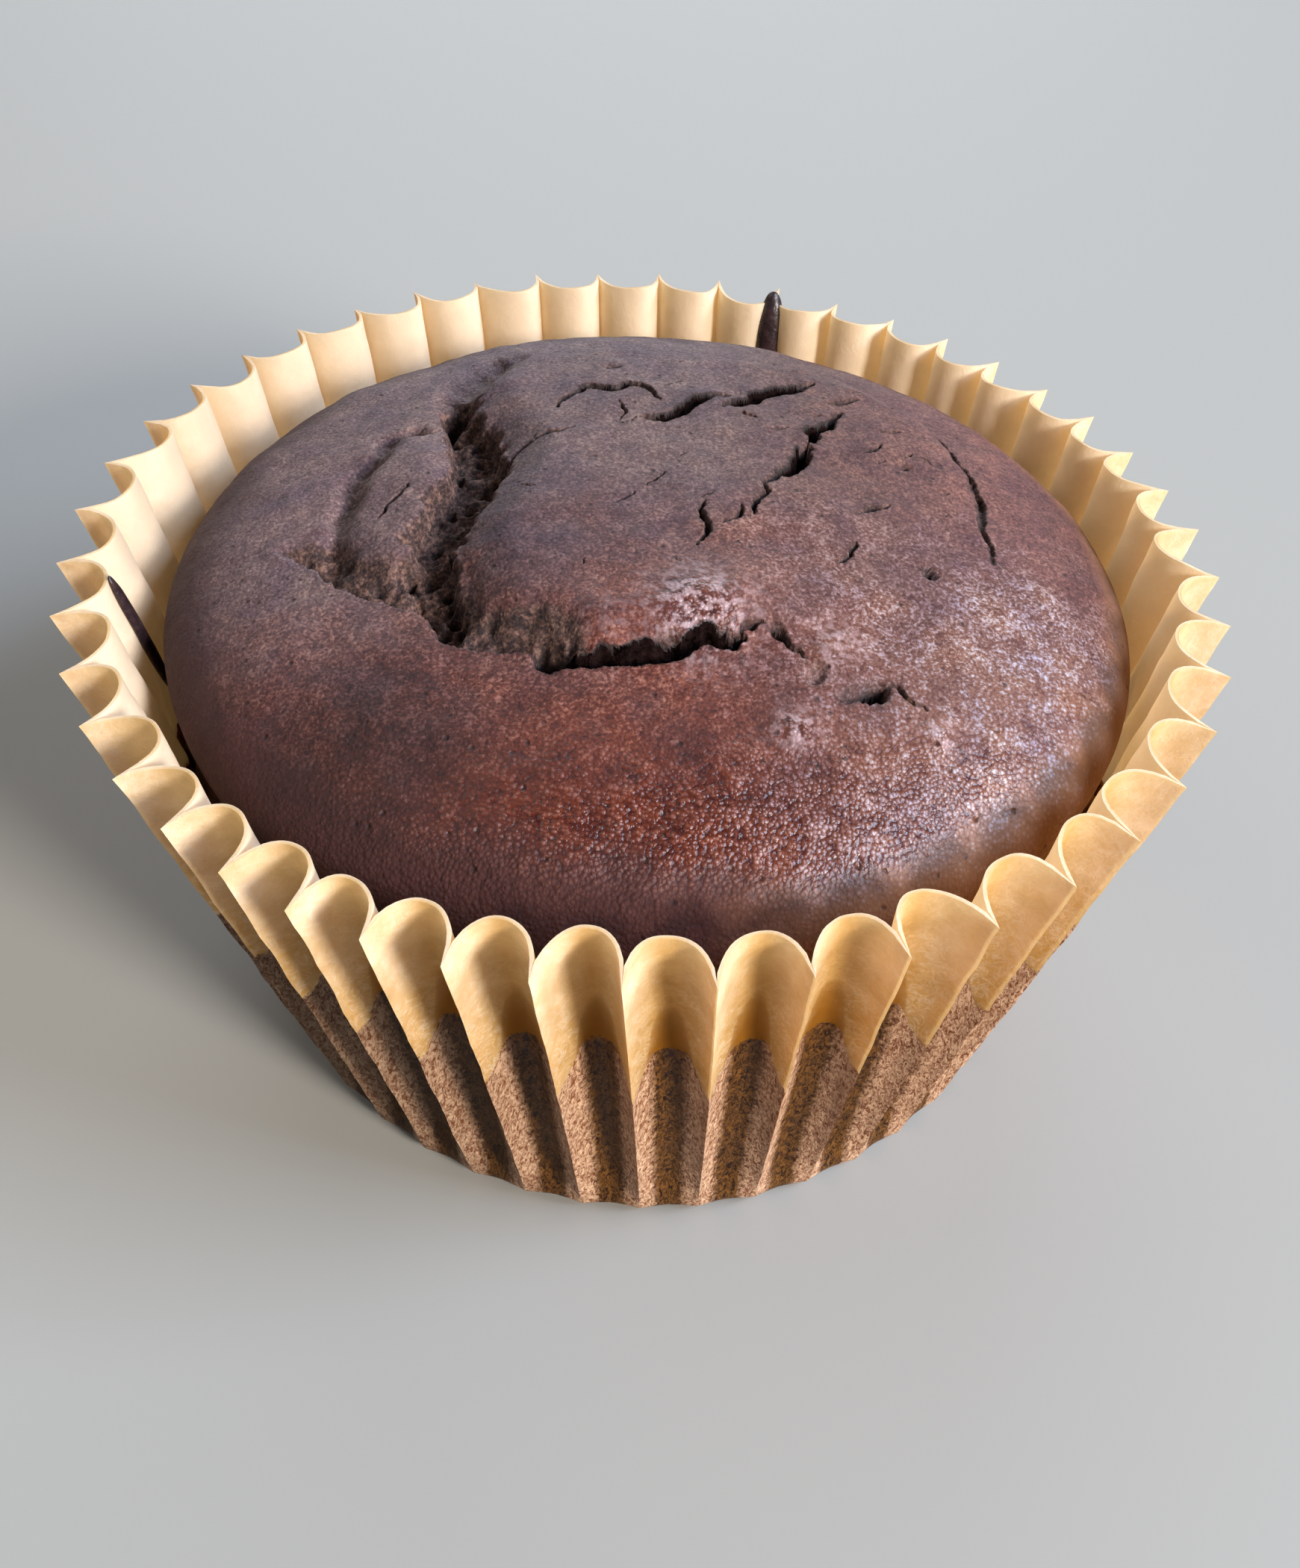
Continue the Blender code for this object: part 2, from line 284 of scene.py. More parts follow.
# The hole in the middle of the base is closed.
for vertex in case.data.vertices:
    vertex.select = vertex.co.length < BASE_MIDDLE_RADIUS + MERGE_WITHIN
bpy.ops.object.mode_set(mode="EDIT")
bpy.ops.mesh.select_mode(type="VERT")
bpy.ops.mesh.edge_face_add()
bpy.ops.object.mode_set(mode="OBJECT")
turn_faces_outward()

shell = case.modifiers.new("paper_thickness", "SOLIDIFY")
shell.thickness = SHEET_THICKNESS
shell.offset = INWARD
shell.material_offset_rim = 1
outer_count = len(case.data.vertices)
bpy.ops.object.modifier_apply(modifier=shell.name)

# The second half of the vertices is the sheet's inner side.
inside_map = case.data.attributes.new("inside", "FLOAT", "POINT")
for vertex in case.data.vertices:
    inside_map.data[vertex.index].value = 1.0 if vertex.index >= outer_count else 0.0
bpy.ops.object.shade_smooth_by_angle(angle=SHARP_OVER)


class Finish:
    """A procedural material under way: its nodes, its main shader and the place of a point on the piece."""

    def __init__(self, name):
        self.material = bpy.data.materials.new(name)
        self.material.use_nodes = True
        self.tree = self.material.node_tree
        self.shader = self.tree.nodes["Principled BSDF"]
        self.place = self.node("ShaderNodeTexCoord").outputs["Object"]
        self.x, self.y, self.z = self.node("ShaderNodeSeparateXYZ", {"Vector": self.place}).outputs

    def node(self, kind, inputs=None, **settings):
        made = self.tree.nodes.new(kind)
        for key, value in settings.items():
            setattr(made, key, value)
        for name, value in (inputs or {}).items():
            self.feed(made.inputs[name], value)
        return made

    def feed(self, socket, value):
        """value is another node's output, a number, a colour or a vector."""
        if isinstance(value, bpy.types.NodeSocket):
            self.tree.links.new(value, socket)
        else:
            socket.default_value = (*value, 1) if socket.type == "RGBA" else value

    def shade(self, **values):
        """Feeds the main shader, whose sockets are named here with _ for a space, and gives the material."""
        for name, value in values.items():
            self.feed(self.shader.inputs[name.replace("_", " ")], value)
        return self.material

    def noise(self, scale, detail=3.0, roughness=0.55, distortion=0.0, place=None):
        """Cloudy noise, whose scale counts its lumps in a metre."""
        inputs = {"Vector": place or self.place, "Scale": scale, "Detail": detail, "Roughness": roughness}
        return self.node("ShaderNodeTexNoise", {**inputs, "Distortion": distortion}).outputs["Fac"]

    def cells(self, scale):
        """(distance to the middle of a cell, one chance number of that cell, another)."""
        made = self.node("ShaderNodeTexVoronoi", {"Vector": self.place, "Scale": scale})
        chance = self.node("ShaderNodeSeparateColor", {"Color": made.outputs["Color"]}).outputs
        return made.outputs["Distance"], chance[0], chance[1]

    def stretched(self, scales):
        """The place with its own scale along each axis, which draws a pattern out."""
        made = self.node("ShaderNodeVectorMath", {0: self.place, 1: scales}, operation="MULTIPLY")
        return made.outputs["Vector"]

    def distance_to(self, centre):
        made = self.node("ShaderNodeVectorMath", {0: self.place, 1: centre}, operation="DISTANCE")
        return made.outputs["Value"]

    def attribute(self, name):
        return self.node("ShaderNodeAttribute", attribute_name=name).outputs["Fac"]

    def maths(self, operation, *values):
        return self.node("ShaderNodeMath", dict(enumerate(values)), operation=operation).outputs[0]

    def scaled(self, value, factor, plus=0.0):
        return self.maths("MULTIPLY_ADD", value, factor, plus)

    def ramp(self, value, *stops):
        """stops are (position, colour) pairs, and a plain number stands for a grey."""
        made = self.node("ShaderNodeValToRGB", {"Fac": value})
        elements = made.color_ramp.elements
        while len(elements) < len(stops):
            elements.new(0.5)
        for element, (position, colour) in zip(elements, stops):
            element.position = position
            element.color = (colour, colour, colour, 1) if isinstance(colour, (int, float)) else (*colour, 1)
        return made.outputs["Color"]

    def mix(self, factor, first, second, blend="MIX"):
        inputs = {"Factor": factor, 6: first, 7: second}
        return self.node("ShaderNodeMix", inputs, data_type="RGBA", blend_type=blend).outputs[2]

    def tinted(self, colour, tint):
        return self.mix(1.0, colour, tint, "MULTIPLY")

    def bump(self, height, distance, strength=1.0, over=None):
        inputs = {"Height": height, "Distance": distance, "Strength": strength}
        if over:
            inputs["Normal"] = over
        return self.node("ShaderNodeBump", inputs).outputs["Normal"]


def dry_paper(paper, cloud, fibres, above, crease):
    """Free paper: creamy at the rim and along the creases, more golden lower down and in the open folds, both
    as painted light and shade; paler on its inner side as painted light.
    """
    # Painted shade and painted light through the sheet make the paper golden low down; painted light makes it
    # creamy at the rim.
    rise = paper.scaled(cloud, 0.35, paper.scaled(above, 0.085))
    colour = paper.ramp(rise, (0.12, PAPER_LOW), (0.52, PAPER_GOLD), (1.00, PAPER_CREAM))
    colour = paper.mix(paper.ramp(fibres, (0.35, 0.0), (0.70, 0.35)), colour, FIBRE)
    threads = paper.ramp(paper.noise(900, 3, 0.6, 1.5), (0.455, 0.0), (0.50, 0.45), (0.545, 0.0))
    colour = paper.mix(threads, colour, THREAD)
    blotches = paper.ramp(paper.noise(420, 4, 0.65), (0.35, (0.84, 0.78, 0.66)), (0.65, (1.10, 1.12, 1.16)))
    colour = paper.tinted(colour, blotches)
    # Painted highlight along the creases and painted golden shade in the open folds.
    colour = paper.tinted(colour, paper.ramp(crease, (0.15, (0.80, 0.62, 0.38)), (0.85, (1.04, 1.03, 1.08))))
    # The inner side is painted paler: painted light on the lit inner wall.
    colour = paper.mix(paper.scaled(paper.attribute("inside"), 0.60), colour, PAPER_INSIDE)

    # A darker tongue is drawn up the middle of each lobe, above the soak line: partly fat, partly painted
    # shade of the ridge and of the cake close behind the sheet.
    hollow = paper.scaled(paper.maths("POWER", crease, 2.5), -2.6, 1.0)
    reach = paper.scaled(cloud, 0.6, paper.scaled(above, -0.19, hollow))
    return paper.mix(paper.ramp(reach, (0.40, 0.0), (0.56, 0.60), (1.10, 1.0)), colour, FAT_AND_SHADE_TONGUE)


def soaked_paper(paper, fibres, hairs, crease):
    """Soaked paper: streaky, dark in the open folds, partly as painted shade, paler along the creases, partly
    as a painted sheen, and darker at the left as painted shade.
    """
    streaks = paper.ramp(hairs, (0.38, 0.0), (0.62, 1.0))
    fold = paper.mix(streaks, *SOAKED_FOLD_AND_SHADE)
    ridge = paper.mix(streaks, *SOAKED_RIDGE_AND_SHEEN)
    colour = paper.mix(paper.ramp(paper.scaled(fibres, 0.4, crease), (0.56, 0.0), (0.84, 1.0)), fold, ridge)
    # Painted shade: darker towards the left side, which faces away from the light.
    return paper.tinted(colour, paper.ramp(paper.scaled(paper.x, 30.0, 0.72), (0.20, 0.42), (0.66, 1.0)))


def greaseproof_paper():
    paper = Finish("greaseproof_paper")
    cloud = paper.noise(260, 4, 0.6)
    fibres = paper.noise(1500, 3, 0.7, 1.2)
    hairs = paper.noise(1.0, 3, 0.65, 1.2, paper.stretched((4600, 4600, 1900)))
    above = paper.attribute("soak")
    crease = paper.attribute("crease")
    ragged = paper.scaled(paper.noise(1500, 3, 0.8), 1.8, above)
    soaked = paper.ramp(paper.scaled(ragged, 0.5, 0.05), (0.46, 1.0), (0.54, 0.0))
    dry = dry_paper(paper, cloud, fibres, above, crease)
    colour = paper.mix(soaked, dry, soaked_paper(paper, fibres, hairs, crease))
    gloss = paper.ramp(soaked, (0.0, 0.78), (1.0, 0.46))
    grain = paper.mix(soaked, paper.mix(0.5, cloud, fibres), hairs)
    relief = paper.bump(grain, 0.00009)
    paper.shade(Base_Color=colour, Roughness=gloss, Specular_IOR_Level=0.10, Normal=relief)

    # Light that comes through the sheet: much where it is dry and little where it is soaked.
    glow = paper.node("ShaderNodeBsdfTranslucent", {"Color": paper.mix(soaked, GLOW_DRY, GLOW_SOAKED)})
    share = paper.mix(soaked, (0.46, 0.46, 0.46), (0.14, 0.14, 0.14))
    shaders = {0: share, 1: paper.shader.outputs["BSDF"], 2: glow.outputs["BSDF"]}
    both = paper.node("ShaderNodeMixShader", shaders)
    paper.feed(paper.tree.nodes["Material Output"].inputs["Surface"], both.outputs["Shader"])
    return paper.material


# The sheet's cut edge, painted near white: a painted highlight where the edge catches the light.
def cut_edge_highlight():
    paper = Finish("cut_edge_highlight")
    pulp = paper.noise(1800, 3, 0.6)
    colour = paper.ramp(pulp, (0.35, (0.92, 0.84, 0.66)), (0.65, (1.0, 0.96, 0.86)))
    return paper.shade(Base_Color=colour, Roughness=0.8, Normal=paper.bump(pulp, 0.0001))


case.data.materials.append(greaseproof_paper())
case.data.materials.append(cut_edge_highlight())
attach(case, "root")
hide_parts("paper_case")


# Cake.
# One baked body: it fills the pleats up to its contact line, stands free above that and domes over. As it
# rose, the middle of the crust broke away as a plate, tore a canyon at its left and left an island there.
SHOULDER_HEIGHT = 0.0263
SHOULDER_RADIUS = 0.0273
SKIRT_HEIGHT = 0.0226
SKIRT_RADIUS = 0.0264
CROWN_WAVES = (
    (1, 0.0006, radians(200)),
    (2, 0.00035, radians(-8)),
)
DOME_RISE = 0.0069
DOME_ROUND_OUT = 2.3
DOME_ROUND_UP = 0.49
PLATE_CENTRE = Vector((0.0035, 0.0015))
PLATE_REACH = 0.0152
PLATE_LIFT = 0.0012
PLATE_ROUND = 0.0026
PLATE_FADE = Vector((cos(radians(-20)), sin(radians(-20))))
PLATE_FADE_SPAN = radians(70)
ISLAND_CENTRE = Vector((-0.0149, 0.0005))
ISLAND_HALF = (0.0024, 0.0055)
ISLAND_LIFT = 0.0006
ISLAND_TILT = 0.0004
CAKE_CLEAR = 0.00028
CRUST_GRID = 224
EDGE_CROWDING = 0.12
EDGE_FADE = 0.03
# Where the painted gap shade is stronger than this, faces take a near-black material of painted shade.
DEEP_FROM = 0.78
# Layers of unevenness, as height and span: the baked skin's, and that of ragged tear edges.
SKIN_LAYERS = ((0.00024, 0.0065), (0.00012, 0.0026), (0.00006, 0.0011))
RAGGED_LAYERS = ((0.00042, 0.0014), (0.00022, 0.0005))
CRUMB_HEIGHT = 0.00038
CRUMB_SPAN = 0.0012
LIP_ROWS = 5
SKIRT_ROWS = 9
FLUTE_ROWS = 5
FLUTE_FOOT = 0.022

# The plate's rim in plan, from the right end of the front split round by the right, the back and the canyon.
PLATE_RIM = (
    (0.0046, -0.0111), (0.0100, -0.0092), (0.0150, -0.0065), (0.0184, -0.0028), (0.0186, 0.0030),
    (0.0179, 0.0067), (0.0169, 0.0104), (0.0153, 0.0129), (0.0120, 0.0149), (0.0075, 0.0166),
    (0.0015, 0.0179), (-0.0040, 0.0182), (-0.0080, 0.0172), (-0.0107, 0.0152), (-0.0119, 0.0126),
    (-0.0121, 0.0100), (-0.0109, 0.0080), (-0.0095, 0.0060), (-0.0088, 0.0030), (-0.0094, 0.0000),
    (-0.0104, -0.0035), (-0.0100, -0.0070), (-0.0086, -0.0104), (-0.0058, -0.0127), (-0.0041, -0.0131),
    (-0.0024, -0.0129), (-0.0010, -0.0127), (0.0010, -0.0121), (0.0023, -0.0114), (0.0033, -0.0114),
    (0.0046, -0.0111),
)
# Wide tears, as width, depth and points in plan. What stands higher is on the left of each.
CANYON = (0.0036, 0.0017, ((-0.0127, 0.0112), (-0.0122, 0.0080), (-0.0110, 0.0050), (-0.0106, 0.0020),
                           (-0.0114, -0.0005), (-0.0122, -0.0030), (-0.0124, -0.0055), (-0.0116, -0.0080),
                           (-0.0104, -0.0106)))
MOAT = (0.0023, 0.0007, ((-0.0135, 0.0074), (-0.0155, 0.0069), (-0.0168, 0.0047), (-0.0175, 0.0022),
                         (-0.0178, -0.0005), (-0.0180, -0.0030), (-0.0175, -0.0058)))
BACK_FOLD = (0.0048, 0.0008, ((-0.0096, 0.0176), (-0.0112, 0.0156), (-0.0123, 0.0126), (-0.0131, 0.0092)))
LEFT_SLIT = (0.0006, 0.0014, ((-0.0190, -0.0050), (-0.0174, -0.0063), (-0.0152, -0.0078), (-0.0130, -0.0086),
                              (-0.0118, -0.0092), (-0.0112, -0.0102), (-0.0106, -0.0112), (-0.0091, -0.0118),
                              (-0.0073, -0.0121), (-0.0058, -0.0124)))
SLUMP = 0.0034
SLUMP_DEPTH = 0.0012
FRONT_SPLIT = (0.0009, 0.0022, ((-0.0060, -0.0127), (-0.0041, -0.0131), (-0.0024, -0.0129),
                                (-0.0010, -0.0127), (0.0010, -0.0121), (0.0023, -0.0113),
                                (0.0033, -0.0114), (0.0044, -0.0110)))
TEAR_STEP = 0.00015
TEAR_JAG_SPAN = 0.0016
SPLIT_SHADE = 0.00055
SPLIT_WIDE = 0.0003
POCKET_SPAN = 0.0012
POCKET_DEPTH = 0.0009
# How dark the crumb's pockets are painted, as painted shade.
POCKET_SHADE = 0.72
# Holes, as centre in plan, half length, half width, turn of the long side, depth, and how dark they are
# painted, as painted shade.
HOLES = (
    ((-0.0131, 0.0092), 0.00150, 0.00060, 82, 0.0026, 1.0),
    ((-0.0108, -0.0109), 0.00080, 0.00055, -50, 0.0013, 1.0),
    ((-0.0053, -0.0128), 0.00100, 0.00075, -10, 0.0018, 1.0),
    ((0.0006, -0.0122), 0.00120, 0.00060, 22, 0.0014, 1.0),
    ((0.0033, -0.0113), 0.00085, 0.00045, -5, 0.0014, 1.0),
    ((0.0048, -0.0103), 0.00050, 0.00030, 35, 0.0006, 0.7),
    ((0.0061, -0.0105), 0.00060, 0.00030, -45, 0.0007, 0.9),
    ((0.0081, -0.0127), 0.00070, 0.00050, 70, 0.0004, 0.0),
    ((0.0109, -0.0134), 0.00100, 0.00060, 20, 0.0016, 1.0),
    ((0.0097, -0.0138), 0.00080, 0.00040, 18, 0.0004, 0.3),
    ((0.0145, -0.0042), 0.00055, 0.00032, -60, 0.0006, 0.8),
    ((0.0138, 0.0049), 0.00045, 0.00030, 0, 0.0005, 0.8),
    ((-0.0034, 0.0131), 0.00055, 0.00025, 10, 0.0004, 0.6),
)
# Swellings, as centre in plan, radius, height, and how shiny the skin over them is, which also sets their
# painted glints.
SWELLINGS = (
    ((0.0022, -0.0100), 0.0026, 0.00050, 1.0),
    ((-0.0024, -0.0112), 0.0022, 0.00025, 0.2),
    ((0.0092, -0.0105), 0.0013, 0.00020, 0.7),
    ((0.0142, -0.0155), 0.0008, 0.00025, 1.0),
    ((0.0071, -0.0163), 0.0011, 0.00030, 1.0),
    ((0.0085, -0.0118), 0.0010, 0.00020, 0.5),
    ((-0.0060, -0.0030), 0.0050, 0.00030, 0.0),
)
# Cracks, as width, depth, how much the left bank stands over the right one, and points in plan.
CRACKS = (
    (0.00055, 0.0009, 0.0002, ((-0.0065, 0.0080), (-0.0059, 0.0094), (-0.0047, 0.0105), (-0.0033, 0.0100),
                               (-0.0024, 0.0108), (-0.0014, 0.0103), (-0.0005, 0.0088))),
    (0.00085, 0.0013, 0.0003, ((-0.0016, 0.0069), (-0.0003, 0.0069), (0.0006, 0.0075), (0.0014, 0.0086),
                               (0.0024, 0.0096), (0.0036, 0.0101))),
    (0.00100, 0.0014, 0.0003, ((0.0032, 0.0085), (0.0046, 0.0097), (0.0058, 0.0108), (0.0072, 0.0118),
                               (0.0088, 0.0128))),
    (0.00035, 0.0005, 0.0, ((0.0043, 0.0082), (0.0047, 0.0078), (0.0052, 0.0076))),
    (0.00040, 0.0006, 0.0001, ((0.0096, 0.0104), (0.0106, 0.0109), (0.0116, 0.0116))),
    (0.00040, 0.0005, 0.0001, ((0.0076, 0.0144), (0.0097, 0.0150))),
    (0.00100, 0.0014, -0.0002, ((0.0103, 0.0095), (0.0093, 0.0078), (0.0084, 0.0063), (0.0078, 0.0047),
                                (0.0074, 0.0032), (0.0066, 0.0021), (0.0054, 0.0010))),
    (0.00045, 0.0007, 0.0, ((0.0055, 0.0008), (0.0054, -0.0003), (0.0050, -0.0011), (0.0049, -0.0020))),
    (0.00035, 0.0005, 0.0, ((0.0042, -0.0012), (0.0041, -0.0022), (0.0033, -0.0033))),
    (0.00050, 0.0008, 0.0, ((0.0022, -0.0014), (0.0021, -0.0028), (0.0024, -0.0041), (0.0018, -0.0051))),
    (0.00040, 0.0005, 0.0, ((0.0108, -0.0003), (0.0117, 0.0005), (0.0126, 0.0011))),
    (0.00040, 0.0005, 0.0, ((0.0094, -0.0046), (0.0100, -0.0040), (0.0103, -0.0033), (0.0106, -0.0027))),
    (0.00035, 0.0005, 0.0, ((0.0114, 0.0055), (0.0126, 0.0065))),
    (0.00030, 0.0004, 0.0, ((0.0059, 0.0064), (0.0070, 0.0069))),
    (0.00030, 0.0004, 0.0, ((0.0126, 0.0079), (0.0137, 0.0085))),
    (0.00025, 0.0004, 0.0, ((-0.0028, 0.0064), (-0.0025, 0.0074), (-0.0028, 0.0087))),
    (0.00025, 0.0004, 0.0, ((-0.0025, -0.0017), (-0.0016, -0.0007))),
    (0.00025, 0.0004, 0.0, ((-0.0010, 0.0000), (0.0000, 0.0011))),
    (0.00035, 0.0006, 0.0001, ((-0.0092, 0.0028), (-0.0085, 0.0040), (-0.0076, 0.0046), (-0.0066, 0.0050),
                               (-0.0053, 0.0055))),
    (0.00030, 0.0005, 0.0001, ((-0.0143, 0.0008), (-0.0151, -0.0006), (-0.0157, -0.0020))),
    (0.00075, 0.0005, -0.0003, ((0.0151, 0.0127), (0.0159, 0.0117), (0.0165, 0.0103), (0.0171, 0.0083),
                                (0.0177, 0.0070), (0.0181, 0.0054), (0.0183, 0.0038), (0.0181, 0.0017),
                                (0.0182, 0.0003), (0.0184, -0.0010), (0.0184, -0.0021))),
    (0.00035, 0.0005, 0.0001, ((0.0041, -0.0109), (0.0045, -0.0104), (0.0054, -0.0100))),
    (0.00035, 0.0005, 0.0001, ((0.0060, -0.0105), (0.0069, -0.0113), (0.0076, -0.0118))),
    (0.00035, 0.0005, 0.0, ((0.0111, -0.0132), (0.0121, -0.0128), (0.0130, -0.0137), (0.0136, -0.0141))),
)
BANK_REACH = 0.0014
FULL_BANK = 0.0002
FULL_DEPTH = 0.0010
HOLE_REACH = 0.004
# Short nicks all over the plate, most of which lie along one heading.
NICKS = 22
NICK_SEED = 7
NICK_HEADING = 35
NICK_LENGTH = 0.0007
NICK_WIDTH = 0.00015
NICK_DEPTH = 0.00022
# Skin and crumb, each from its darkest tone to its lightest.
GREY_SKIN = ((0.058, 0.030, 0.032), (0.124, 0.078, 0.078), (0.250, 0.175, 0.155))
RED_SKIN = ((0.042, 0.005, 0.003), (0.122, 0.026, 0.012), (0.320, 0.145, 0.115))
RAW_CRUMB = ((0.015, 0.006, 0.005), (0.062, 0.028, 0.021), (0.180, 0.092, 0.066))
# The low edge: painted shade at the left, painted warm light from the paper at the right.
LOW_EDGE_SHADE_AND_BOUNCE = ((0.034, 0.006, 0.004), (0.230, 0.095, 0.036))
# A painted glint for the shiny swellings.
PAINTED_GLINT = (0.500, 0.330, 0.330)
# Near-black painted shade for the gaps.
GAP_SHADE = (0.005, 0.003, 0.003)
# Dark red painted shade for the small pits.
PIT_SHADE = (0.022, 0.005, 0.004)
PLAIN = (1.0, 1.0, 1.0)
# How the two skins change from the left to the right; at the far right the red one turns much paler and
# bluer, partly a painted sheen of sky light.
GREY_SKIN_TINTS = (
    (0.06, (1.02, 0.94, 0.96)), (0.30, (0.86, 0.82, 0.84)), (0.54, (0.86, 0.81, 0.81)),
    (0.66, (0.79, 0.62, 0.55)), (0.90, (0.98, 0.62, 0.55)),
)
RED_SKIN_TINTS_AND_SHEEN = (
    (0.28, (0.72, 0.64, 0.62)), (0.44, (0.92, 0.85, 0.76)), (0.56, (0.96, 0.90, 0.80)),
    (0.90, (1.85, 4.40, 6.80)),
)
# Two places painted darker, as centre and tint.
DARKER_SPOTS = (
    ((-0.0135, -0.0172, 0.0310), (0.50, 0.52, 0.58)),
    ((-0.0060, -0.0040, 0.0335), (0.68, 0.68, 0.78)),
)


def smooth_line(points, step):
    """Points every step along a smooth line through the given ones."""
    knots = [Vector(point) for point in points]
    knots = [knots[0] * 2 - knots[1], *knots, knots[-1] * 2 - knots[-2]]
    line = []
    for before, start, end, after in zip(knots, knots[1:], knots[2:], knots[3:]):
        count = max(round((end - start).length / step), 1)
        for i in range(count):
            t = i / count
            bend = (2 * before - 5 * start + 4 * end - after) * t**2
            bend += (3 * start - before - 3 * end + after) * t**3
            line.append(0.5 * (2 * start + (end - before) * t + bend))
    line.append(knots[-2])
    return line


class Tears:
    """Lines in the crust, kept as close marks: each knows its place, aim, half width, depth and bank."""

    def __init__(self, step, jag, jag_span, taper=0.5):
        self.step = step
        self.taper = taper
        self.jag = jag
        self.jag_span = jag_span
        self.marks = []

    def add(self, width, depth, bank, points):
        line = smooth_line(points, self.step)
        seed = len(self.marks)
        for i, spot in enumerate(line):
            aim = (line[min(i + 1, len(line) - 1)] - line[max(i - 1, 0)]).normalized()
            along = i * self.step / self.jag_span
            wobble = noise.noise((along, seed, 0)) + 0.5 * noise.noise((along * 3.1, seed, 5))
            wobble += 0.3 * noise.noise((along * 6.7, seed, 11))
            full = sin(pi * (i + 0.5) / len(line)) ** self.taper
            size = (0.3 + 0.7 * full) * (1 + 0.4 * noise.noise((along * 1.7, seed, 9)))
            moved = spot + Vector((-aim.y, aim.x)) * wobble * self.jag
            self.marks.append((moved, aim, width * size / 2, depth * size, bank * full))

    def ready(self):
        self.tree = kdtree.KDTree(len(self.marks))
        for i, mark in enumerate(self.marks):
            self.tree.insert((*mark[0], 0), i)
        self.tree.balance()
        return self

    def near(self, x, y):
        """(distance, side, half width, depth, bank) of the nearest mark. side is 1 at its left, else -1."""
        _, i, distance = self.tree.find((x, y, 0))
        spot, aim, half, depth, bank = self.marks[i]
        side = 1 if aim.cross(Vector((x, y)) - spot) > 0 else -1
        return distance, side, half, depth, bank


def one_tear(width, depth, points, jag=0.0003):
    tear = Tears(TEAR_STEP, jag, TEAR_JAG_SPAN)
    tear.add(width, depth, 0.0, points)
    return tear.ready()


plate_rim = one_tear(0.0, 0.0, PLATE_RIM)
canyon = one_tear(*CANYON)
moat = one_tear(*MOAT)
back_fold = one_tear(*BACK_FOLD)
left_slit = one_tear(*LEFT_SLIT)
front_split = one_tear(*FRONT_SPLIT, jag=0.0002)
cracks = Tears(step=0.00006, jag=0.00026, jag_span=0.0013, taper=0.8)
for crack in CRACKS:
    cracks.add(*crack)
nick_dice = Random(NICK_SEED)
for _ in range(NICKS):
    reach = PLATE_REACH * sqrt(nick_dice.random())
    turn = nick_dice.uniform(0, 2 * pi)
    heading = radians(nick_dice.gauss(NICK_HEADING, NICK_HEADING))
    length = NICK_LENGTH * nick_dice.uniform(0.4, 1.4)
    start = PLATE_CENTRE + Vector((cos(turn), sin(turn))) * reach
    end = start + Vector((cos(heading), sin(heading))) * length
    cracks.add(NICK_WIDTH, NICK_DEPTH, 0.0, (start, end))
cracks.ready()


def plate_lift(x, y):
    """The plate stands over the crust round it, with a rounded edge, but not where it never broke off."""
    out = Vector((x, y)) - PLATE_CENTRE
    broken = smooth(out.angle(PLATE_FADE, 0.0) / PLATE_FADE_SPAN)
    distance, side, *_ = plate_rim.near(x, y)
    inside = min(max(side * distance / PLATE_ROUND, 0.0), 1.0)
    edge = (sqrt(1 - (1 - inside) ** 2) + smooth(inside)) / 2
    return PLATE_LIFT * max(edge * broken, smooth(1 - out.length / PLATE_REACH))


def island_lift(x, y):
    to_right = (x - ISLAND_CENTRE.x) / ISLAND_HALF[0]
    to_back = (y - ISLAND_CENTRE.y) / ISLAND_HALF[1]
    return smooth(1.5 - hypot(to_right, to_back)) * (ISLAND_LIFT + ISLAND_TILT * (to_right + to_back) / 2)


def uneven(spot, layers):
    return sum(height * noise.noise(spot / span) for height, span in layers)


# Each shape below gives the lift it adds at (x, y), how raw the crumb lies there and how dark a gap is
# painted, as painted shade.
# ragged moves its edges, and crumb is the lift of torn crumb.
def moat_shape(x, y, ragged, crumb):
    distance, _, half, depth, _ = moat.near(x, y)
    inside = 1 - (distance + ragged) / half
    return -depth * smooth(inside), 0.75 * smooth((inside - 0.55) / 0.35), 0.0


def back_fold_shape(x, y, ragged, crumb):
    distance, _, half, depth, _ = back_fold.near(x, y)
    inside = 1 - distance / half
    return -depth * smooth(inside), 0.45 * smooth((inside - 0.25) / 0.6), 0.0


def canyon_shape(x, y, ragged, crumb):
    distance, _, half, depth, _ = canyon.near(x, y)
    inside = 1 - (distance + ragged) / half
    return (crumb - depth) * smooth(inside / 0.4), smooth((inside + 0.04) / 0.14), 0.0


def left_slit_shape(x, y, ragged, crumb):
    """In front the crust ends in a lip; behind it the crumb has slumped and rises slowly again."""
    distance, side, half, depth, _ = left_slit.near(x, y)
    inside = 1 - (distance + ragged * 0.3) / half
    # The slit's gap is darkened as painted shade.
    if side < 0:
        return -depth * smooth(inside / 0.5), 0.0, smooth(inside / 0.5)
    slump = 1 - smooth((distance + ragged) / SLUMP)
    gap = smooth(inside / 0.8)
    return (crumb * 0.9 - SLUMP_DEPTH) * slump - depth * gap * 0.5, smooth((slump - 0.20) / 0.14), 0.9 * gap


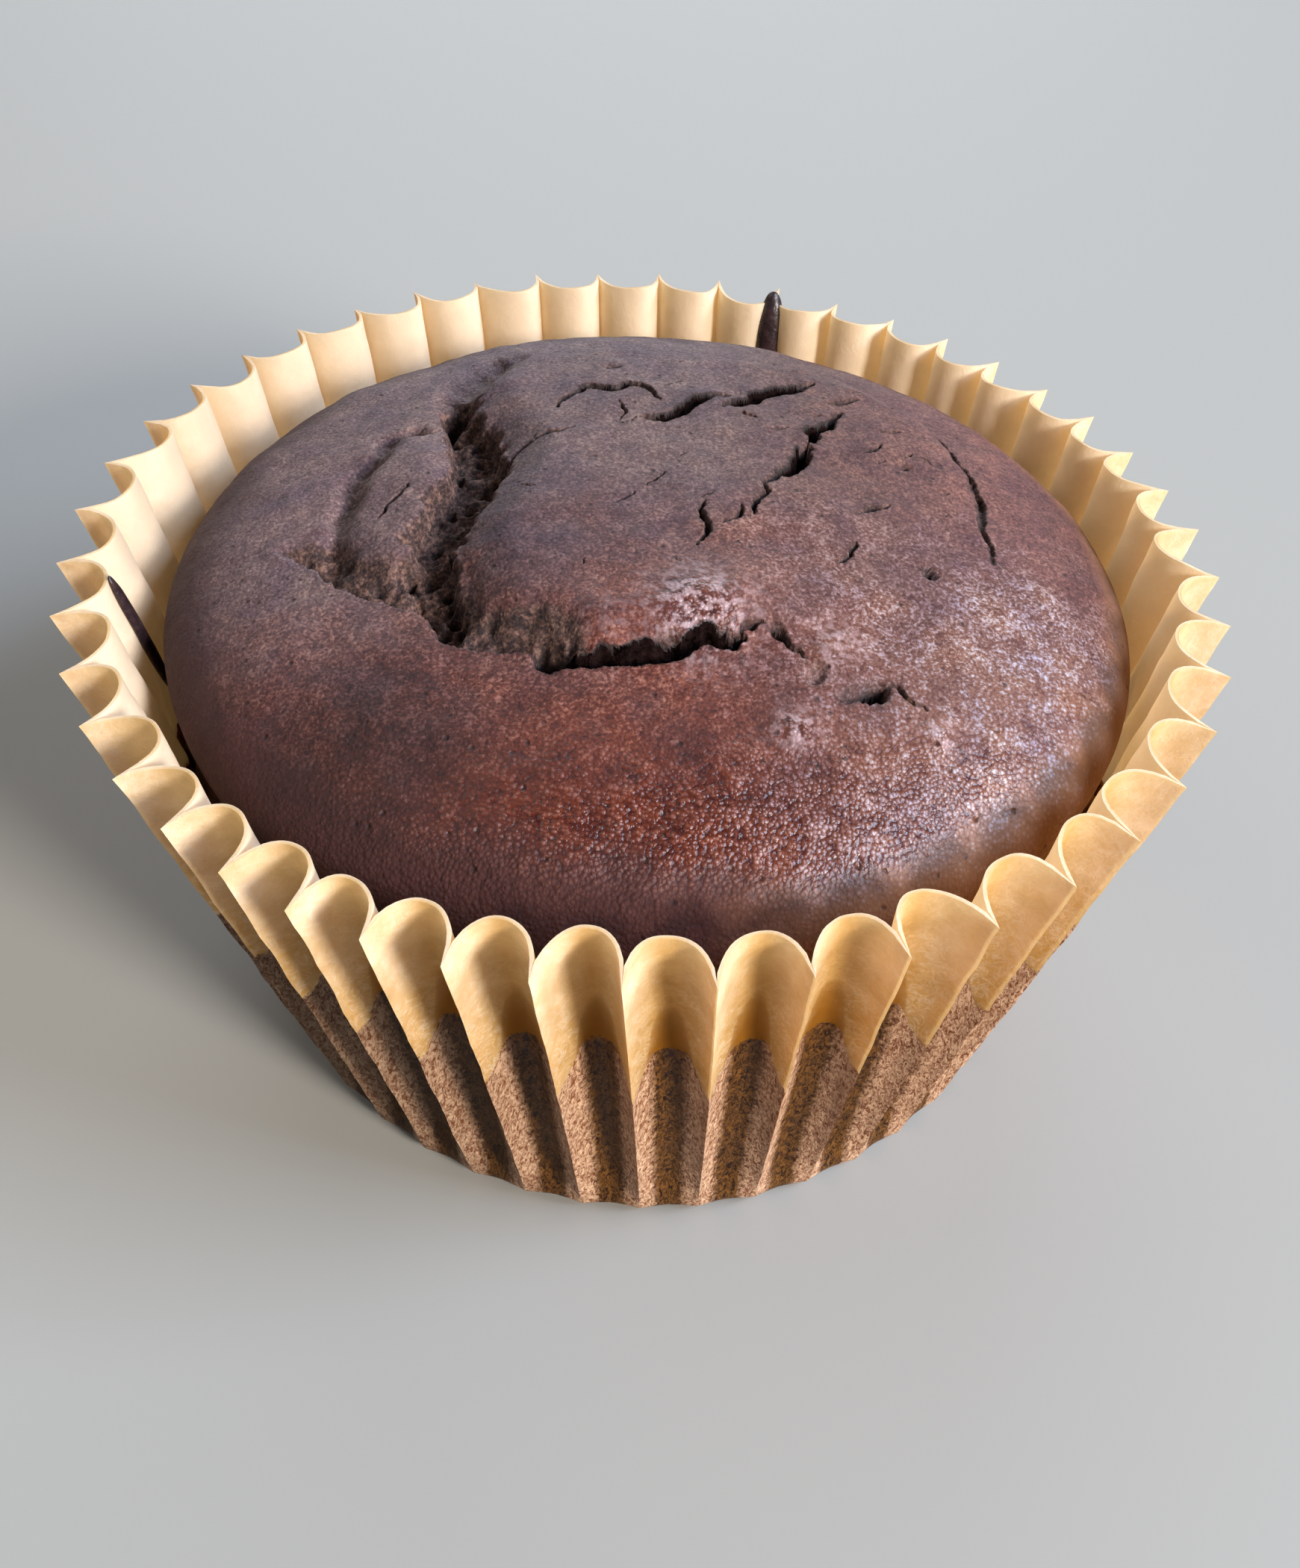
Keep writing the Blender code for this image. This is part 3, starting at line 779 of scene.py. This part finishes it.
def front_split_shape(x, y, ragged, crumb):
    """Behind the gap the plate's own edge is darkened as painted shadow, where the split is wide."""
    distance, side, half, depth, _ = front_split.near(x, y)
    inside = 1 - (distance + ragged * 0.25) / half
    dark = smooth((inside + 0.10) / 0.25)
    if side > 0 and half > SPLIT_WIDE:
        dark = max(dark, smooth((SPLIT_SHADE - distance - ragged * 0.5) / (SPLIT_SHADE / 5)))
    return -depth * smooth(inside / 0.45), 0.6 * smooth((inside + 0.5) / 0.6), dark


def crack_shape(x, y, ragged, crumb):
    """One bank stands a little over the other, and the painted shade lies more on the wall under the higher
    one.
    """
    distance, side, half, depth, bank = cracks.near(x, y)
    step = side * bank / 2 * smooth(distance / (half + FULL_BANK)) * exp(-distance / BANK_REACH)
    inside = 1 - (distance + 0.12 * ragged) / half
    wall = side * min(max(bank / FULL_BANK, -1.0), 1.0)
    dark = 0.78 * smooth((inside + 0.30 * wall) / 0.45) + 0.15 * smooth((inside + 1) / 1.5)
    dark *= min(depth / FULL_DEPTH, 1.0)
    return step - depth * smooth(inside / 0.7), 0.7 * smooth((inside + 0.5) / 0.7), dark


def hole_shape(x, y, ragged, hole):
    centre, long_half, short_half, turn, depth, darkness = hole
    offset = Vector((x - centre[0], y - centre[1]))
    along = offset.dot(Vector((cos(radians(turn)), sin(radians(turn)))))
    across = offset.dot(Vector((-sin(radians(turn)), cos(radians(turn)))))
    inside = 1 - hypot(along / long_half, across / short_half) - ragged / short_half * 0.35
    sunk = smooth((inside + 0.15) / 0.8)
    return -depth * sunk, 0.5 * smooth((inside + 0.3) / 0.4), darkness * smooth((inside + 0.05) / 0.4)


def crust(x, y):
    """(lift over the dome, how raw the crumb lies, how dark a gap is painted as shade, how shiny the skin is)
    in plan.
    """
    spot = Vector((x, y, 0))
    ragged = uneven(spot, RAGGED_LAYERS)
    pocket = smooth((0.36 - noise.voronoi(spot / POCKET_SPAN)[0][0]) / 0.22)
    crumb = CRUMB_HEIGHT * noise.fractal(spot / CRUMB_SPAN, 0.6, 2.2, 5) - POCKET_DEPTH * pocket
    tears = (moat_shape, back_fold_shape, canyon_shape, left_slit_shape, front_split_shape, crack_shape)
    shapes = [shape(x, y, ragged, crumb) for shape in tears]
    close = [hole for hole in HOLES if hypot(x - hole[0][0], y - hole[0][1]) < HOLE_REACH]
    shapes += [hole_shape(x, y, ragged, hole) for hole in close]
    lift = plate_lift(x, y) + island_lift(x, y) + uneven(spot, SKIN_LAYERS)
    lift += sum(shape[0] for shape in shapes)
    shine = 0.0
    for centre, radius, height, gloss in SWELLINGS:
        swollen = exp(-((hypot(x - centre[0], y - centre[1]) / radius) ** 2))
        lift += height * swollen
        shine = max(shine, gloss * swollen)
    raw = max(shape[1] for shape in shapes)
    # Pockets in raw crumb and the gaps of the tears are darkened as painted shade.
    dark = max(POCKET_SHADE * pocket * smooth(raw * 2 - 1), *(shape[2] for shape in shapes))
    return lift, raw, dark, shine


def disc_point(a, b):
    """A square's point moved to a disc, as (share of the radius, angle)."""
    if a == 0 and b == 0:
        return 0.0, 0.0
    if abs(a) >= abs(b):
        reach, turn = a, b / a * pi / 4
        return abs(a), atan2(reach * sin(turn), reach * cos(turn))
    reach, turn = b, a / b * pi / 4
    return abs(b), atan2(reach * cos(turn), reach * sin(turn))


def crown_plan(out, angle):
    """Where a point of the unit disc lies on the crown in plan; points crowd at the round edge."""
    share = (1 + EDGE_CROWDING) * out - EDGE_CROWDING * out**9
    radius = share * (SHOULDER_RADIUS + waves(angle, CROWN_WAVES))
    return radius * cos(angle), radius * sin(angle)


def dome(x, y):
    """(height of the plain dome, share of the way out to its edge)."""
    share = min(hypot(x, y) / (SHOULDER_RADIUS + waves(atan2(y, x), CROWN_WAVES)), 1.0)
    return SHOULDER_HEIGHT + DOME_RISE * (1 - share**DOME_ROUND_OUT) ** DOME_ROUND_UP, share


bpy.ops.object.select_all(action="DESELECT")
bpy.ops.mesh.primitive_grid_add(x_subdivisions=CRUST_GRID, y_subdivisions=CRUST_GRID, size=2)
cake = bpy.context.object
cake.name = "cake_crumb_and_crust"
for vertex in cake.data.vertices:
    out, angle = disc_point(vertex.co.x, vertex.co.y)
    x, y = crown_plan(out, angle)
    vertex.co = (x, y, SHOULDER_HEIGHT)


def refine(obj, tears, margin):
    """Cuts in four each face whose middle lies in one of the tears, or closer to it than the margin."""
    for group in (obj.data.vertices, obj.data.edges):
        group.foreach_set("select", [False] * len(group))
    for face in obj.data.polygons:
        x, y, _ = face.center
        nearest = (tear.near(x, y) for tear in tears)
        face.select = any(distance < half + margin for distance, _, half, *_ in nearest)
    bpy.ops.object.mode_set(mode="EDIT")
    bpy.ops.mesh.select_mode(type="FACE")
    bpy.ops.mesh.subdivide(number_cuts=1)
    bpy.ops.object.mode_set(mode="OBJECT")


refine(cake, (cracks, canyon, left_slit, front_split), margin=0.0004)
refine(cake, (cracks, front_split), margin=0.0001)

looks = []
for vertex in cake.data.vertices:
    x, y, _ = vertex.co
    height, share = dome(x, y)
    lift, *look = crust(x, y)
    fade = smooth((1 - share) / EDGE_FADE)
    vertex.co.z = height + lift * fade
    looks.append([value * fade for value in look])


# The side: the crown's outline is drawn down and in to the contact line, and on down the pleats to the base.
def side_point(angle, row):
    """row 0 is the shoulder, SKIRT_ROWS the contact line, and the last row the foot."""
    place = (angle - FIRST_CREASE) / (2 * pi) * PLEATS % PLEATS
    wave = waves(angle, CROWN_WAVES)
    inward = CAKE_CLEAR + SHEET_THICKNESS
    if row > SKIRT_ROWS:
        share = (row - SKIRT_ROWS) / FLUTE_ROWS
        return case_wall(place, CONTACT_CLIMB + (FLUTE_FOOT - CONTACT_CLIMB) * share, inward)
    if row <= LIP_ROWS:
        share = row / LIP_ROWS
        radius = SHOULDER_RADIUS + (SKIRT_RADIUS - SHOULDER_RADIUS) * share**1.6 + wave
        height = SHOULDER_HEIGHT + (SKIRT_HEIGHT - SHOULDER_HEIGHT) * share
    else:
        share = (row - LIP_ROWS) / (SKIRT_ROWS - LIP_ROWS)
        contact = case_wall(place, CONTACT_CLIMB, inward)
        start = SKIRT_RADIUS + wave
        radius = start + (hypot(contact.x, contact.y) - start) * share**1.3
        height = SKIRT_HEIGHT + (contact.z - SKIRT_HEIGHT) * share
        angle += CONTACT_CLIMB * waves(angle, CREASE_DRIFT) * share
    return Vector((radius * cos(angle), radius * sin(angle), height))


# The crown's outline is where an edge has one face only.
outline = set()
edge_uses = {}
for face in cake.data.polygons:
    for key in face.edge_keys:
        edge_uses[key] = edge_uses.get(key, 0) + 1
for key, uses in edge_uses.items():
    if uses == 1:
        outline.update(key)
for row in range(1, SKIRT_ROWS + FLUTE_ROWS + 1):
    for face in cake.data.polygons:
        face.select = False
    for edge in cake.data.edges:
        edge.select = edge.vertices[0] in outline and edge.vertices[1] in outline
    for vertex in cake.data.vertices:
        vertex.select = vertex.index in outline
    bpy.ops.object.mode_set(mode="EDIT")
    bpy.ops.mesh.select_mode(type="EDGE")
    bpy.ops.mesh.extrude_edges_move()
    bpy.ops.object.mode_set(mode="OBJECT")
    outline = {vertex.index for vertex in cake.data.vertices if vertex.select}
    for index in outline:
        vertex = cake.data.vertices[index]
        vertex.co = side_point(atan2(vertex.co.y, vertex.co.x), row)
bpy.ops.object.mode_set(mode="EDIT")
bpy.ops.mesh.edge_face_add()
bpy.ops.object.mode_set(mode="OBJECT")
turn_faces_outward()
bpy.ops.object.shade_smooth()

# The looks become maps on the cake: raw crumb, painted shade in the gaps, and shine.
for name, values in zip(("raw", "dark", "shine"), zip(*looks)):
    look_map = cake.data.attributes.new(name, "FLOAT", "POINT")
    for index, value in enumerate(values):
        look_map.data[index].value = value


def skin_colour(baked, to_right, red, texture):
    """The grey skin on top and the red one, each with its own change from the left to the right."""
    matt = baked.ramp(texture, *zip((0.34, 0.50, 0.66), GREY_SKIN))
    rosy = baked.ramp(texture, *zip((0.36, 0.50, 0.66), RED_SKIN))
    matt = baked.tinted(matt, baked.ramp(to_right, *GREY_SKIN_TINTS))
    rosy = baked.tinted(rosy, baked.ramp(to_right, *RED_SKIN_TINTS_AND_SHEEN))
    colour = baked.mix(red, matt, rosy)
    # Painted shade: darker at the far right, where the crust turns away.
    colour = baked.tinted(colour, baked.ramp(to_right, (0.925, PLAIN), (0.99, (0.70, 0.60, 0.55))))
    # Painted reflection of the sky: bluer towards the back.
    to_back = baked.scaled(baked.y, 40.0)
    colour = baked.tinted(colour, baked.ramp(to_back, (0.40, PLAIN), (0.80, (1.0, 1.07, 1.14))))
    tones = baked.noise(330, 3, 0.6)
    return baked.tinted(colour, baked.ramp(tones, (0.30, (0.72, 0.64, 0.74)), (0.70, (1.22, 1.14, 1.00))))


def torn_colour(baked, colour, sand, blobs, raw, shine):
    """Painted glints on the swellings, raw crumb in the tears, and painted shade in the gaps."""
    # Painted glints: the shiny swellings are lightened in colour.
    glints = baked.maths("MULTIPLY", baked.ramp(blobs, (0.46, 0.0), (0.60, 0.75)), shine)
    colour = baked.mix(glints, colour, PAINTED_GLINT)
    crumb = baked.ramp(baked.scaled(sand, 0.6, baked.scaled(blobs, 0.4)), *zip((0.39, 0.50, 0.63), RAW_CRUMB))
    colour = baked.mix(raw, colour, crumb)
    return baked.mix(baked.scaled(baked.attribute("dark"), 0.95), colour, GAP_SHADE)


def edge_colour(baked, colour, to_right, low, patches):
    """The low edge, dark at the left as painted shade and brown at the right as painted warm light from the
    paper, and the darker spots.
    """
    colour = baked.mix(baked.scaled(low, 0.85), colour, baked.ramp(to_right, *zip((0.55, 0.80), LOW_EDGE_SHADE_AND_BOUNCE)))
    for centre, tint in DARKER_SPOTS:
        away = baked.scaled(baked.distance_to(centre), 100.0, baked.scaled(patches, 0.4))
        colour = baked.tinted(colour, baked.ramp(away, (0.40, tint), (0.95, PLAIN)))
    return colour


def pores(baked):
    """Small pits, one in each of a few cells."""
    from_middle, chance, _ = baked.cells(1500)
    few = baked.ramp(chance, (0.84, 0.0), (0.90, 1.0))
    return baked.maths("MULTIPLY", baked.ramp(from_middle, (0.06, 1.0), (0.30, 0.0)), few)


def baked_crust():
    baked = Finish("baked_crust")
    x, y, z = baked.x, baked.y, baked.z
    raw = baked.attribute("raw")
    shine = baked.attribute("shine")
    patches = baked.noise(170, 4, 0.6)
    mottle = baked.noise(800, 4, 0.7)
    blobs = baked.noise(2100, 2, 0.5)
    runs = baked.noise(1.0, 3, 0.6, 0.5, baked.stretched((2600, 950, 950)))
    from_middle, grain_lift, grain_tone = baked.cells(4300)
    sand = baked.scaled(grain_tone, 0.16, baked.scaled(baked.noise(5600, 2, 0.6), 0.84))
    beads = baked.scaled(grain_lift, 0.22, baked.scaled(from_middle, -0.55, 0.62))
    pit = pores(baked)

    # Where the skin dried red, where it shines and where it is glazed: at the front, and most at the right.
    red = baked.scaled(y, -56.0, baked.scaled(baked.maths("MINIMUM", x, 0.0), 14.0, -0.62))
    red = baked.ramp(baked.scaled(patches, 1.3, red), (0.0, 0.0), (0.85, 1.0))
    skin = baked.scaled(patches, 0.5, baked.scaled(y, -58.0, baked.scaled(x, 14.0, -0.55)))
    skin = baked.maths("MAXIMUM", baked.ramp(skin, (0.45, 0.0), (0.95, 1.0)), shine)
    glaze = baked.scaled(patches, 0.3, baked.scaled(x, 22.0, baked.scaled(y, -30.0, -0.15)))
    glaze = baked.ramp(glaze, (0.74, 0.0), (0.90, 1.0))

    # The low edge of the free side, which reaches a little higher at the left.
    to_right = baked.scaled(x, 20.0, 0.5)
    low = baked.scaled(z, 30.0, baked.scaled(patches, 0.06, baked.ramp(to_right, (0.55, 0.0), (0.66, 0.030))))
    low = baked.ramp(low, (0.900, 1.0), (0.940, 0.0))

    # Dull skin is sandy, and shiny skin is beaded and runny.
    fine = baked.scaled(sand, 0.7, baked.scaled(mottle, 0.3))
    coarse = baked.scaled(runs, 0.25, baked.scaled(beads, 0.40, baked.scaled(mottle, 0.32)))
    colour = skin_colour(baked, to_right, red, baked.mix(skin, fine, coarse))
    colour = torn_colour(baked, colour, sand, blobs, raw, shine)
    colour = edge_colour(baked, colour, to_right, low, patches)
    # The pits are darkened as painted shade.
    colour = baked.mix(baked.scaled(pit, 0.8), colour, PIT_SHADE)

    gloss = baked.ramp(baked.scaled(mottle, 0.3, baked.scaled(skin, 0.7)), (0.20, 0.82), (0.80, 0.30))
    gloss = baked.mix(glaze, gloss, (0.23, 0.23, 0.23))
    gloss = baked.mix(baked.maths("MAXIMUM", raw, low), gloss, (0.88, 0.88, 0.88))

    wavy = baked.scaled(mottle, 0.9, baked.scaled(runs, 0.35, beads))
    wavy = baked.maths("MULTIPLY", wavy, baked.scaled(glaze, -0.45, baked.scaled(skin, 0.7, 0.3)))
    relief = baked.bump(wavy, 0.00015, over=baked.bump(sand, 0.000045))
    relief = baked.bump(baked.maths("SUBTRACT", 1.0, pit), 0.00012, 0.8, relief)
    return baked.shade(Base_Color=colour, Roughness=gloss, Specular_IOR_Level=0.45, Normal=relief)


def shade_in_deep_gaps():
    """Near-black crumb painted in the deepest gaps, as painted shade where hardly any light comes back out.
    """
    crumb = Finish("shade_in_deep_gaps")
    lumps = crumb.noise(1800, 3, 0.7)
    colour = crumb.ramp(lumps, (0.35, (0.002, 0.001, 0.001)), (0.68, (0.016, 0.008, 0.007)))
    return crumb.shade(Base_Color=colour, Roughness=crumb.ramp(lumps, (0.3, 0.9), (0.7, 1.0)),
                       Specular_IOR_Level=0.0, Normal=crumb.bump(lumps, 0.0002))


cake.data.materials.append(baked_crust())
cake.data.materials.append(shade_in_deep_gaps())
# Faces deep in the gaps take the painted shade.
for face in cake.data.polygons:
    if all(index < len(looks) and looks[index][1] > DEEP_FROM for index in face.vertices):
        face.material_index = 1
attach(cake, "root")
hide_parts("muffin_cake")


# Batter drips.
# Two runs of batter on the inside of the paper, which baked hard there in the oven. One fills a fold at the
# back up to the rim, and the other lies along a lobe at the left and ends in a thin tip.
BACK_DRIP_PLACE = 29.0
LEFT_DRIP_PLACE = 43.5
DRIP_SEGMENTS = 24
DRIP_RINGS = 32
DRIP_LUMPS = 0.10

batter_look = Finish("burnt_batter")
scorch = batter_look.noise(1400, 3, 0.6)
scorch_tone = batter_look.ramp(scorch, (0.35, (0.012, 0.006, 0.008)), (0.70, (0.040, 0.018, 0.018)))
scorch_relief = batter_look.bump(scorch, 0.00012)
burnt_batter = batter_look.shade(Base_Color=scorch_tone, Roughness=0.38, Normal=scorch_relief)


def drip(name, place, low, high, half_width, half_depth, stand_in, node_name):
    """A sphere drawn out along the sheet from one climb to another, standing in from it."""
    bpy.ops.object.select_all(action="DESELECT")
    bpy.ops.mesh.primitive_uv_sphere_add(segments=DRIP_SEGMENTS, ring_count=DRIP_RINGS, radius=1.0)
    run = bpy.context.object
    run.name = name
    for vertex in run.data.vertices:
        side, out, up = vertex.co
        girth = max(1 - up * up, 0.0) ** 0.5
        full = (1 - abs(up) ** 3.5) ** 0.5
        grow = full / girth if girth > 1e-6 else 0.0
        climb = low + (high - low) * (up + 1) / 2
        centre = case_wall(place, climb)
        inward = Vector((-centre.x, -centre.y, 0.0)).normalized()
        across = Vector((-inward.y, inward.x, 0.0))
        lump = 1 + DRIP_LUMPS * noise.noise(vertex.co * 2.2)
        vertex.co = (centre + inward * (stand_in - out * grow * half_depth * lump)
                     + across * (side * grow * half_width * lump))
    turn_faces_outward()
    bpy.ops.object.shade_smooth()
    run.data.materials.append(burnt_batter)
    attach(run, "root")
    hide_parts(node_name)


drip("drip_in_back_fold", BACK_DRIP_PLACE, low=0.76, high=1.03, half_width=0.00085, half_depth=0.0007,
     stand_in=0.0022, node_name="batter_drip_back")
drip("drip_on_left_lobe", LEFT_DRIP_PLACE, low=0.72, high=1.005, half_width=0.00050, half_depth=0.00030,
     stand_in=0.00030, node_name="batter_drip_left")
